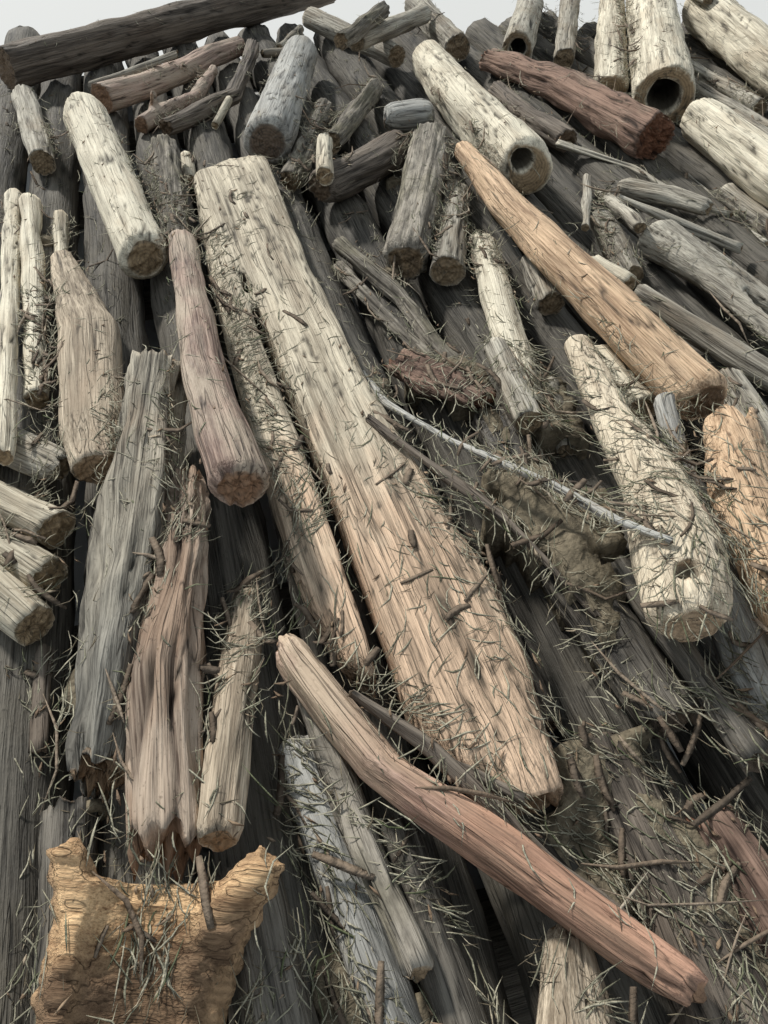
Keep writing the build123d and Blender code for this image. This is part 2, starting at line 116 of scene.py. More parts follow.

# The map of heights, the duff in the gaps, and the dirt and painted shade that it leaves on the logs
HEIGHT_CELL = 0.012
GAP_CLOSINGS = 3
GAP_SLOPE = 0.004
GAP_STEP = 0.02
DUFF_CELLS = 2
DUFF_BLURS = 14
DUFF_DEPTH = 0.045
DUFF_THICKNESS = 0.01
DUFF_LUMP = 0.016
DUFF_SMALL_LUMP = 0.01
DUFF_GRIT = 0.005
DUFF_RISES = 0.015
DUFF_FLOOR = 0.3
RIM_HEIGHT = 0.37
DIRT_AND_SHADE_REACH = 0.055
DIRT_AND_SHADE_MOST = 0.75
KNOT_LOG_DIRT_AND_SHADE = 0.4
MOUND_PLACE = (-0.78, -2.35)
MOUND_SPREAD = (0.32, 0.75)
MOUND_RISE = 0.14

# How litter lies: where it feels for gaps, how its headings drift and scatter, its tilts, how it bridges
GAP_REACH = 0.1
GAP_WEIGHT = 25
HEADING_DRIFT = 0.9
HEADING_SCATTER = 0.45
TILT_SCATTER = 0.09
BRIDGE_SLOPE = 0.7

# Light: the sun's strength, width, colour and slant, the sky, what the camera sees of it, and the floor
SUN_STRENGTH = 4.0
SUN_WIDTH = 6
SUN_COLOUR = (1.0, 0.97, 0.91)
SUN_SLANT = (-48, -28)
SKY_COLOUR = (0.84, 0.93, 1.0)
SKY_STRENGTH = 0.55
BACKDROP_COLOUR = (0.84, 0.85, 0.86)
FLOOR_COLOUR = (0.6, 0.6, 0.59)
FLOOR_SIZE = 40
FLOOR_HEIGHT = -0.002

# Litter: how many, lengths and widths, how flat and how bent, and what differs from the usual strand
LITTER = {
    "reed": dict(count=8800, reach=(0.03, 0.125), width=(0.0028, 0.006), flatness=0.3, bend=0.5, seed=5),
    "straw": dict(count=6500, reach=(0.015, 0.075), width=(0.0018, 0.0042), flatness=0.5, bend=0.3, seed=8,
                  knots=3),
    "stick": dict(count=120, reach=(0.08, 0.34), width=(0.004, 0.011), flatness=1.0, bend=0.3, seed=6,
                  sides=5, on_top=0.0, heaped=0.2),
    "chip": dict(count=1300, reach=(0.012, 0.04), width=(0.005, 0.012), flatness=0.5, bend=0.1, seed=7,
                 knots=3, heaped=0.4),
    "bark": dict(count=420, reach=(0.04, 0.15), width=(0.008, 0.022), flatness=0.2, bend=0.2, seed=9,
                 sides=4, on_top=0.0, heaped=0.3, blunt=0.7),
}

# Relief of each wood: grain, lumps and cracks in metres, how many cracks, how ragged the ends are
WOODS = {
    "hidden_log": dict(grain=0.0015, lump=0.004, crack=0.003, ragged=0.004),
    "wet_dark_wood": dict(grain=0.003, lump=0.006, crack=0.006, ragged=0.012),
    "grey_weathered_wood": dict(grain=0.002, lump=0.005, crack=0.007, ragged=0.008),
    "dark_brown_wood": dict(grain=0.003, lump=0.006, crack=0.006, ragged=0.012),
    "red_rotten_wood": dict(grain=0.004, lump=0.009, crack=0.007, ragged=0.02),
    "cream_bleached_wood": dict(grain=0.0012, lump=0.005, crack=0.008, ragged=0.008),
    "pink_brown_wood": dict(grain=0.0018, lump=0.004, crack=0.004, ragged=0.008),
    "bark_covered_wood": dict(grain=0.005, lump=0.005, crack=0.006, ragged=0.01),
    "orange_tan_wood": dict(grain=0.0015, lump=0.004, crack=0.005, ragged=0.006),
    "stringy_rotten_wood": dict(grain=0.006, lump=0.008, crack=0.01, ragged=0.025),
    "split_slab_wood": dict(grain=0.0014, lump=0.003, crack=0.004, ragged=0.02),
    "smooth_grey_wood": dict(grain=0.001, lump=0.003, crack=0.005, ragged=0.004),
    "tan_wood": dict(grain=0.002, lump=0.004, crack=0.006, ragged=0.008),
}

# Pieces with hollows, forks or horns keep the frame's solid under a finer skin
SKINNED = {
    "split_slab": SLAB_SKIN,
    "stump_chunk": NEAR_SKIN,
    "forked_log": SKIN,
    "notched_log": SKIN,
    "split_end_log": FAR_SKIN,
    "horned_root": SKIN,
    "knot_log": NEAR_SKIN,
    "pale_trunk": FAR_SKIN,
    "hollow_log": FAR_SKIN,
    "blue_hollow_log": FAR_SKIN,
    "squared_block": NEAR_SKIN,
    "brown_slab": NEAR_SKIN,
    "reddish_slab": FINEST_SKIN,
}

# Pieces rougher than their wood
ROUGHER = {
    "stump_chunk": dict(grain=0.003, lump=0.006, crack=0.008, ragged=0.01),
    "rot_log": dict(grain=0.008, lump=0.012, crack=0.014, ragged=0.03),
    "brown_split_log": dict(grain=0.007, lump=0.01, crack=0.014, ragged=0.04),
    "bed_logs": dict(grain=0.003, lump=0.008, crack=0.004, ragged=0.02),
    "bow_log": dict(grain=0.0025, lump=0.006, crack=0.008, ragged=0.01),
    "knot_log": dict(grain=0.001, lump=0.003, crack=0.003, ragged=0.006),
}

# How much paler or darker than their wood some pieces are
PALER = {
    "cream_log": 0.22, "knot_log": 0.2, "squared_block": 0.2, "pale_stick": 0.5, "grey_round_log": 0.25,
    "left_poles": 0.1, "step_log": -0.12, "left_pair": -0.18, "rot_log": -0.1, "tan_bark_bolt": 0.15,
    "mossy_log": -0.12, "buried_grey_logs": -0.15, "right_hand_logs": -0.1, "far_thin_logs": -0.1,
    "small_stubs": -0.12, "grey_chunk": -0.2, "far_logs": -0.12, "blue_hollow_log": 0.1,
}

# Pieces whose finish differs from their slot's
OWN_FINISH = {
    "bearers": "bearer_wood",
    "stump_chunk": "stump_wood",
    "bow_log": "bow_wood",
    "knot_log": "knot_wood",
    "rot_log": "rot_wood",
    "brown_split_log": "split_brown_wood",
    "orange_half_log": "tan_wood",
    "pale_stump": "tan_wood",
}


def field(points, sizes, seed, waves=18):
    """A smooth random height from about -1 to 1: a sum of cosine waves of random direction and phase.

    sizes gives the wavelength along each of the three axes, so a long first size makes grain.
    """
    rng = np.random.default_rng(seed)
    turns = rng.normal(size=(3, waves)) * 2 * np.pi / np.array(sizes)[:, None] / 1.6
    phase = rng.uniform(0, 2 * np.pi, waves)
    return np.cos(points @ turns + phase).sum(1) / math.sqrt(waves)


def relief(grain, wood, seed):
    """Height to add outwards at places in a log's own frame, and how deep in a crack each place is.

    height = grain * (fine + 0.8 ridge) + lumps - crack * exp(-(check / width)^2) * gate, so that a crack runs
    where the check wave passes through zero. Each knot adds a wide bell curve less a narrow one.
    """
    fine = field(grain, FINE_WAVES, seed)
    ridge = field(grain, RIDGE_WAVES, seed + 1)
    lump = field(grain, LUMP_WAVES, seed + 2)
    check = field(grain, CRACK_WAVES, seed + 3)
    gate = np.clip(field(grain, GATE_WAVES, seed + 4) * 1.6 + 0.5, 0, 1)
    crack = np.exp(-((check / CRACK_WIDTH) ** 2)) * gate
    height = wood["grain"] * (fine + 0.8 * ridge) + wood["lump"] * lump - wood["crack"] * crack
    rng = np.random.default_rng(seed + 6)
    angle = np.arctan2(grain[:, 2], grain[:, 1])
    radius = np.hypot(grain[:, 1], grain[:, 2]).max() * 0.8
    start, reach = grain[:, 0].min(), np.ptp(grain[:, 0])
    for _ in range(int(reach / KNOT_EVERY)):
        place = start + reach * rng.uniform(0.08, 0.92)
        turn = rng.uniform(-np.pi, np.pi)
        size = rng.uniform(*KNOT_SIZES)
        off = np.abs((angle - turn + np.pi) % (2 * np.pi) - np.pi) * radius
        far = np.hypot((grain[:, 0] - place) / 1.6, off) / (size * radius)
        height += radius * size * (KNOT_BUMP * np.exp(-(far**2)) - KNOT_PIT * np.exp(-((far / 0.45) ** 2)))
        crack = np.maximum(crack, 0.8 * np.exp(-((far / 0.5) ** 4)))
    # The troughs between ridges join the mark; the colour darkens it, as painted shade and dirt in creases
    return height, np.clip(crack + 0.25 * np.clip(-ridge - 0.5, 0, 1), 0, 1)


def welded(node):
    """A CAD node's corner points, welded, its edges and its triangles."""
    mesh = frame["nodes"][node].data
    mesh.calc_loop_triangles()
    place = np.empty(len(mesh.vertices) * 3)
    corner = np.empty(len(mesh.loop_triangles) * 3, int)
    mesh.vertices.foreach_get("co", place)
    mesh.loop_triangles.foreach_get("vertices", corner)
    points, weld = np.unique(place.reshape(-1, 3).round(5), axis=0, return_inverse=True)
    faces = weld.reshape(-1)[corner].reshape(-1, 3)
    faces = faces[(faces[:, 0] != faces[:, 1]) & (faces[:, 1] != faces[:, 2]) & (faces[:, 2] != faces[:, 0])]
    edges = np.unique(np.sort(np.vstack([faces[:, [0, 1]], faces[:, [1, 2]], faces[:, [2, 0]]]), 1), axis=0)
    return points, edges, faces


def solids_of(node):
    """Splits a CAD node into its separate solids, each as points, edges and triangles."""
    points, edges, faces = welded(node)
    group = np.arange(len(points))
    while True:
        low = group[edges].min(1)
        before = group.copy()
        np.minimum.at(group, edges[:, 0], low)
        np.minimum.at(group, edges[:, 1], low)
        group = group[group]
        if (before == group).all():
            break
    solids = []
    for name in np.unique(group):
        inside = group == name
        number = np.cumsum(inside) - 1
        own_edges, own_faces = inside[edges[:, 0]], inside[faces[:, 0]]
        solids.append((points[inside], number[edges[own_edges]], number[faces[own_faces]]))
    return solids


def hollow_shade_of(place, normal, edges):
    """How hollow the surface is at each point, from 0 to 1, for painted shade: how far a smoothed copy stands
    out.
    """
    count = len(place)
    a, b = np.vstack([edges, edges[:, ::-1]]).T
    share = np.bincount(a, minlength=count).clip(1)
    smooth = place.copy()
    for _ in range(HOLLOW_SMOOTHINGS):
        smooth = np.column_stack([np.bincount(a, smooth[b, axis], count) / share for axis in range(3)])
    rise = ((smooth - place) * normal).sum(1)
    return np.clip((rise - HOLLOW_FROM) / HOLLOW_OVER, 0, 1)


def chord_of(points):
    """A log's chord in plan: the middle of its far end, its direction towards the near end, its length."""
    flat = points[:, :2] - points[:, :2].mean(0)
    way = np.linalg.eigh(flat.T @ flat)[1][:, -1]
    way = way if way[1] < 0 else -way
    for _ in range(3):
        place = points[:, :2] @ way
        margin = 0.02 * np.ptp(place) + 0.003
        first = points[place < place.min() + margin].mean(0)
        last = points[place > place.max() - margin].mean(0)
        way = (last - first)[:2]
        way /= np.linalg.norm(way)
    place = (points[:, :2] - first[:2]) @ way
    first = first.copy()
    first[:2] += way * place.min()
    return first, way, np.ptp(place)


def square_ways(points):
    """The chord's direction in plan and the one square to it."""
    way = chord_of(points)[1]
    return way, np.array([-way[1], way[0]])


def sections_of(points, edges, count, around):
    """Slices a solid square to its chord: each slice's outline at even angles, rounded off."""
    first, way, length = chord_of(points)
    side = np.array([-way[1], way[0]])
    place = (points[:, :2] - first[:2]) @ way
    across = (points[:, :2] - first[:2]) @ side
    a, b = edges.T
    angle = np.arange(around) * 2 * np.pi / around
    stations = np.linspace(END_INSET, length - END_INSET, count)
    wide, tall = np.empty((count, around)), np.empty((count, around))
    middle = np.empty((count, 2))
    for i, s in enumerate(stations):
        cut = (place[a] - s) * (place[b] - s) < 0
        share = (s - place[a[cut]]) / (place[b[cut]] - place[a[cut]])
        x = across[a[cut]] * (1 - share) + across[b[cut]] * share
        z = points[a[cut], 2] * (1 - share) + points[b[cut], 2] * share
        middle[i] = (x.min() + x.max()) / 2, (z.min() + z.max()) / 2
        turn = np.arctan2(z - middle[i, 1], x - middle[i, 0])
        order = np.argsort(turn)
        wide[i] = np.interp(angle, turn[order], x[order], period=2 * np.pi)
        tall[i] = np.interp(angle, turn[order], z[order], period=2 * np.pi)
    rounded = []
    for grid in (wide, tall):
        spectrum = np.fft.rfft(grid, axis=1)
        spectrum[:, OUTLINE_WAVES:] = 0
        rounded.append(np.fft.irfft(spectrum, around, axis=1))
    return first, way, side, stations, rounded[0], rounded[1], middle


def placed(name, mesh):
    """Puts a mesh in the scene, as an object at the origin."""
    made = bpy.data.objects.new(name, mesh)
    bpy.context.collection.objects.link(made)
    return made


def new_mesh(name, points, loops, starts, grain, crack, cut, paler=0.0):
    """Makes a mesh object from arrays, outward facing, with its grain, crack and cut-end attributes."""
    mesh = bpy.data.meshes.new(name)
    mesh.vertices.add(len(points))
    mesh.vertices.foreach_set("co", points.reshape(-1))
    mesh.loops.add(len(loops))
    mesh.loops.foreach_set("vertex_index", loops)
    mesh.polygons.add(len(starts))
    mesh.polygons.foreach_set("loop_start", starts)
    mesh.polygons.foreach_set("use_smooth", np.ones(len(starts), bool))
    mesh.update(calc_edges=True)
    if volume_of(mesh) < 0:
        mesh.flip_normals()
    dress(mesh, grain, crack, cut, paler)
    return placed(name, mesh)


def volume_of(mesh):
    """Signed volume of a closed mesh, over its triangles."""
    mesh.calc_loop_triangles()
    corner = np.empty(len(mesh.loop_triangles) * 3, int)
    place = np.empty(len(mesh.vertices) * 3)
    mesh.loop_triangles.foreach_get("vertices", corner)
    mesh.vertices.foreach_get("co", place)
    a, b, c = place.reshape(-1, 3)[corner.reshape(-1, 3)].transpose(1, 0, 2)
    return np.einsum("ij,ij->i", a, np.cross(b, c)).sum()


def dress(mesh, grain, crack, cut, paler):
    """Keeps a place in the log's own frame, two marks and the log's tone on each point, for its colours."""
    mesh.attributes.new("grain", "FLOAT_VECTOR", "POINT").data.foreach_set("vector", grain.reshape(-1))
    mesh.attributes.new("crack", "FLOAT", "POINT").data.foreach_set("value", crack)
    mesh.attributes.new("cut", "FLOAT", "POINT").data.foreach_set("value", cut)
    tone = np.full(len(cut), paler + 0.13 * math.sin(grain[0, 0] * 37.0))
    mesh.attributes.new("tone", "FLOAT", "POINT").data.foreach_set("value", tone)


def log_tube(name, solid, wood, seed, paler, step, around=None):
    """A log as a tube over (place along, angle round), closed by a dished or broken face at each end.

    Each ring is middle + share * (section - middle), with share 1 along the body and falling to nothing on
    an end face. Relief moves it outwards by height, and a ragged end moves along the log by bulge.
    """
    points, edges, _ = solid
    size = np.ptp(points, axis=0)
    count = max(LEAST_RINGS, int(math.hypot(size[0], size[1]) / step))
    if not around:
        girth = math.pi * min(np.ptp((points[:, :2] - points[0, :2]) @ v) for v in square_ways(points))
        around = int(np.clip(girth / CELL_ROUND, LEAST_AROUND, MOST_AROUND))
    first, way, side, stations, wide, tall, middle = sections_of(points, edges, count, around)
    last = count - 1
    ring = np.r_[np.zeros(len(END_SHARES), int), np.arange(count), np.full(len(END_SHARES), last)]
    share = np.r_[END_SHARES[::-1], np.ones(count), END_SHARES]
    end = np.r_[-np.ones(len(END_SHARES)), np.zeros(count), np.ones(len(END_SHARES))]
    x = middle[ring, :1] + share[:, None] * (wide[ring] - middle[ring, :1])
    z = middle[ring, 1:] + share[:, None] * (tall[ring] - middle[ring, 1:])
    along = np.repeat(stations[ring][:, None], around, 1)
    grain = np.stack([along, x - middle[ring, :1], z - middle[ring, 1:]], -1).reshape(-1, 3)
    grain[:, 0] += seed * 7.3
    height, crack = relief(grain, wood, seed)
    height, crack = height.reshape(x.shape), crack.reshape(x.shape)
    radius = np.hypot(x - middle[ring, :1], z - middle[ring, 1:]) + 1e-6
    edge = np.clip((share[:, None] - 0.9) / 0.1, 0, 1)
    x += (x - middle[ring, :1]) / radius * height * edge
    z += (z - middle[ring, 1:]) / radius * height * edge
    ragged = field(grain, RAGGED_WAVES, seed + 5).reshape(x.shape)
    bulge = END_DISH * (1 - share[:, None]) + wood["ragged"] * (ragged - 0.6) * (1 - edge * 0.4)
    by_end = np.exp(-np.minimum(ring, last - ring)[:, None] / 2.0)
    outwards = np.where(ring[:, None] < count / 2, -1, 1) * by_end
    along += np.where(end[:, None] == 0, outwards, end[:, None]) * bulge
    place = first[:2] + along.reshape(-1, 1) * way + x.reshape(-1, 1) * side
    points = np.column_stack([place, z.reshape(-1)])
    rows = len(ring)
    i, j = np.meshgrid(np.arange(rows - 1), np.arange(around), indexing="ij")
    k = (j + 1) % around
    quads = np.stack([i * around + j, i * around + k, (i + 1) * around + k, (i + 1) * around + j], -1)
    caps = [np.arange(around)[::-1], (rows - 1) * around + np.arange(around)]
    loops = np.r_[quads.reshape(-1), caps[0], caps[1]]
    starts = np.r_[np.arange(quads[..., 0].size) * 4, quads.size, quads.size + around]
    cut = np.repeat(np.clip((1 - share) * 12, 0, 1), around)
    return new_mesh(name, points, loops, starts, grain, crack.reshape(-1), cut, paler)


def skinned(name, solid, wood, seed, paler, voxel):
    """The frame's solid with an even fine skin, softened corners, and relief along its normals."""
    points, _, faces = solid
    rough = bpy.data.meshes.new(name + "_core")
    rough.from_pydata(points.tolist(), [], faces.tolist())
    carrier = placed(name, rough)
    skin = carrier.modifiers.new("skin", "REMESH")
    skin.mode = "VOXEL"
    skin.voxel_size = voxel
    soften = carrier.modifiers.new("soften", "SMOOTH")
    soften.factor = 0.5
    soften.iterations = 5
    mesh = bpy.data.meshes.new_from_object(carrier.evaluated_get(bpy.context.evaluated_depsgraph_get()))
    bpy.data.objects.remove(carrier)
    count = len(mesh.vertices)
    place, normal = np.empty(count * 3), np.empty(count * 3)
    mesh.vertices.foreach_get("co", place)
    mesh.vertex_normals.foreach_get("vector", normal)
    place, normal = place.reshape(-1, 3), normal.reshape(-1, 3)
    first, way, _ = chord_of(points)
    side = np.array([-way[1], way[0]])
    flat = place[:, :2] - first[:2]
    along, across = flat @ way, flat @ side
    grain = np.column_stack([along + seed * 7.3, across, place[:, 2] - points[:, 2].mean()])
    facing = np.abs(normal[:, :2] @ way)
    cut = np.clip((facing - 0.6) * 4, 0, 1)
    height, crack = relief(grain, wood, seed)
    edges = np.empty(len(mesh.edges) * 2, int)
    mesh.edges.foreach_get("vertices", edges)
    # Hollows join the crack mark, which the colour darkens: painted shade
    crack = np.maximum(crack, 0.95 * hollow_shade_of(place, normal, edges.reshape(-1, 2)))
    ragged = wood["ragged"] * 0.7 * (field(grain, RAGGED_WAVES, seed + 5) - 0.4)
    place = place + normal * (height * (1 - cut) + ragged * cut)[:, None]
    mesh.vertices.foreach_set("co", place.reshape(-1))
    mesh.polygons.foreach_set("use_smooth", np.ones(len(mesh.polygons), bool))
    mesh.update()
    dress(mesh, grain, crack, cut, paler)
    return placed(name, mesh)


class Socket:
    """A shader value that can be used in sums: each operator adds the node that works it out."""

    def __init__(self, wood, link):
        self.wood = wood
        self.link = link

    def maths(self, operation, *others):
        """The Math node's result for this value and others."""
        return self.wood.node("ShaderNodeMath", dict(operation=operation), [self, *others])

    def __add__(self, other):
        return self.maths("ADD", other)

    def __radd__(self, other):
        return self.maths("ADD", other)

    def __sub__(self, other):
        return self.maths("SUBTRACT", other)

    def __rsub__(self, other):
        return self.wood.node("ShaderNodeMath", dict(operation="SUBTRACT"), [other, self])

    def __mul__(self, other):
        return self.maths("MULTIPLY", other)

    def __rmul__(self, other):
        return self.maths("MULTIPLY", other)

    def held(self, low=0.0, high=1.0):
        """Kept between two values."""
        return self.maths("MAXIMUM", low).maths("MINIMUM", high)


class Finish:
    """A node material under construction."""

    def __init__(self, name):
        self.material = bpy.data.materials.new(name)
        self.material.use_nodes = True
        self.tree = self.material.node_tree
        self.surface = self.tree.nodes["Principled BSDF"]

    def node(self, kind, settings, values, out=0):
        """Adds a node: its settings first, then its sockets, by number or by name."""
        made = self.tree.nodes.new(kind)
        for key, value in settings.items():
            setattr(made, key, value)
        pairs = values.items() if isinstance(values, dict) else enumerate(values)
        for key, value in pairs:
            self.set(made.inputs[key], value)
        return Socket(self, made.outputs[out])

    def set(self, socket, value):
        """Links a shader value to a socket, or writes a plain one on it."""
        if isinstance(value, Socket):
            self.tree.links.new(value.link, socket)
        else:
            socket.default_value = value

    def attribute(self, name, out):
        """A mark kept on the mesh: output 1 is its vector and output 2 its number."""
        return self.node("ShaderNodeAttribute", dict(attribute_name=name), {}, out)

    def noise(self, vector, scale, detail=3.0, rough=0.55):
        """Noise from 0 to 1, about 0.5 on average."""
        values = {"Vector": vector, "Scale": scale, "Detail": detail, "Roughness": rough}
        return self.node("ShaderNodeTexNoise", {}, values)

    def stretched(self, vector, scales):
        """A vector with each of its three parts scaled."""
        return self.node("ShaderNodeVectorMath", dict(operation="MULTIPLY"), [vector, scales])

    def woody(self, grain, kind):
        """One of the kinds of noise in the wood, drawn out along the grain."""
        scales, detail, rough = WOOD_NOISE[kind]
        return self.noise(self.stretched(grain, scales), 1.0, detail, rough)

    def mix(self, share, first, second):
        """A colour that goes from the first to the second."""
        return self.node("ShaderNodeMix", dict(data_type="RGBA"), {0: share, 6: first, 7: second}, 2)


def painted(colour, strength=1.0):
    """A colour for a socket, with its alpha, dimmed by a strength."""
    return tuple(strength * part for part in colour) + (1,)


# Noise in the wood: how fine along the grain and across it, its detail and its roughness
WOOD_NOISE = {
    "fibre": ((7.0, 240.0, 240.0), 2.0, 0.6),
    "streak": ((2.2, 60.0, 60.0), 6.0, 0.66),
    "band": ((1.2, 13.0, 13.0), 3.0, 0.5),
    "blot": ((3.0, 7.0, 7.0), 4.0, 0.6),
    "speck": ((70.0, 140.0, 140.0), 2.0, 0.6),
    "check": ((1.6, 34.0, 34.0), 2.0, 0.5),
    "plates": ((9.0, 26.0, 26.0), 4.0, 0.7),
}


def wood_finish(
        name, light, dark, patch, heart, gloss=0.75, patches=0.5, bark=0.0, near=None, own_grain=True):
    """Weathered wood: streaks from dark to light along the grain, patches of a third colour, thin drying
    cracks, grime and painted shade in the hollows, and cut ends with rings in the heart colour.

    bark darkens broken plates all over. near is a colour that takes over towards the near end, with the
    place where it starts and the length over which it does. Without own_grain the grain runs along X.
    """
    wood = Finish(name)
    place = wood.node("ShaderNodeTexCoord", {}, {}, 3)
    grain = wood.attribute("grain", 1) if own_grain else place
    crack = wood.attribute("crack", 2)
    cut = wood.attribute("cut", 2)
    own = wood.attribute("tone", 2)
    fibre = wood.woody(grain, "fibre")
    streak = wood.woody(grain, "streak")
    band = wood.woody(grain, "band")
    blot = wood.woody(grain, "blot")
    speck = wood.woody(grain, "speck")
    check = wood.woody(grain, "check")
    line = (1.0 - (check - 0.5).maths("ABSOLUTE") * 55.0).held() * ((blot - 0.42) * 9.0).held()
    tone = ((streak - 0.5) * 2.8 + (band - 0.5) * 2.0 + (fibre - 0.5) * 1.6 + own + 0.6).held()
    colour = wood.mix(tone, painted(dark), painted(light))
    share = ((blot - (0.62 - 0.25 * patches)) * 6.0).held() * patches
    colour = wood.mix(share, colour, painted(patch))
    if near:
        tint, start, over = near
        along = wood.node("ShaderNodeSeparateXYZ", {}, [place], 1)
        share = ((start - along) * (1 / over) + (blot - 0.5) * 2.0).held() * 0.82
        colour = wood.mix(share, colour, wood.mix(tone, painted(tint, 0.3), painted(tint)))
    flat = wood.stretched(grain, (0.0, 1.0, 1.0))
    reach = wood.node("ShaderNodeVectorMath", dict(operation="LENGTH"), [flat], 1)
    wave = (reach * 420.0 + wood.noise(grain, 14.0) * 9.0).maths("SINE") * 0.5 + 0.5
    ring = (wave * 0.45 + 0.3 * speck).held()
    colour = wood.mix(cut, colour, wood.mix(ring, painted(heart), painted(heart, 0.4)))
    if bark:
        plates = wood.woody(grain, "plates")
        colour = wood.mix(((plates - 0.45) * 7.0).held() * bark, colour, painted(dark, 0.35))
    grit = ((speck - 0.62) * 8.0).held() * 0.5
    colour = wood.mix(grit, colour, painted(dark, 0.4))
    # Painted shade and dirt: cracks, hollows, check lines and the darkest streaks and fibres go darker
    soil_and_shade = crack * 0.95 + line * 0.6 + (0.4 - streak).held() * 2.6 + (0.39 - fibre).held() * 1.8
    colour = wood.mix(soil_and_shade.held(0.0, 0.92), colour, painted(dark, 0.2))
    wood.set(wood.surface.inputs["Base Color"], colour)
    wood.set(wood.surface.inputs["Roughness"], (gloss + (band - 0.5) * 0.3).held(0.35, 1.0))
    height = streak * 0.8 + fibre * 0.55 + speck * 0.2 + blot * 0.3 - line * 0.35
    bump = wood.node("ShaderNodeBump", {}, {"Strength": 0.9, "Distance": 0.01, "Height": height})
    wood.set(wood.surface.inputs["Normal"], bump)
    wood.set(wood.surface.inputs["Specular IOR Level"], 0.25)
    return wood.material


def litter_finish(name, first, second, third):
    """Dry litter: each strand its own mix of three colours."""
    dry = Finish(name)
    pick = dry.attribute("crack", 2)
    colour = dry.mix((pick * 2.0).held(), painted(first), painted(second))
    colour = dry.mix((pick * 4.0 - 3.0).held(), colour, painted(third))
    shade = dry.noise(dry.attribute("grain", 1), 60.0)
    colour = dry.mix(((shade - 0.4) * 2.0).held(), colour, painted(first, 0.35))
    bump = dry.node("ShaderNodeBump", {}, {"Strength": 0.8, "Distance": 0.01, "Height": shade})
    dry.set(dry.surface.inputs["Normal"], bump)
    dry.set(dry.surface.inputs["Base Color"], colour)
    dry.set(dry.surface.inputs["Roughness"], 0.85)
    dry.set(dry.surface.inputs["Specular IOR Level"], 0.2)
    return dry.material


def near_tint(box, tint, start, over):
    """A colour for a node's near end: from which share of its box's length, and over which share."""
    low, high = box
    reach = high[1] - low[1]
    return tint, low[1] + start * reach, over * reach


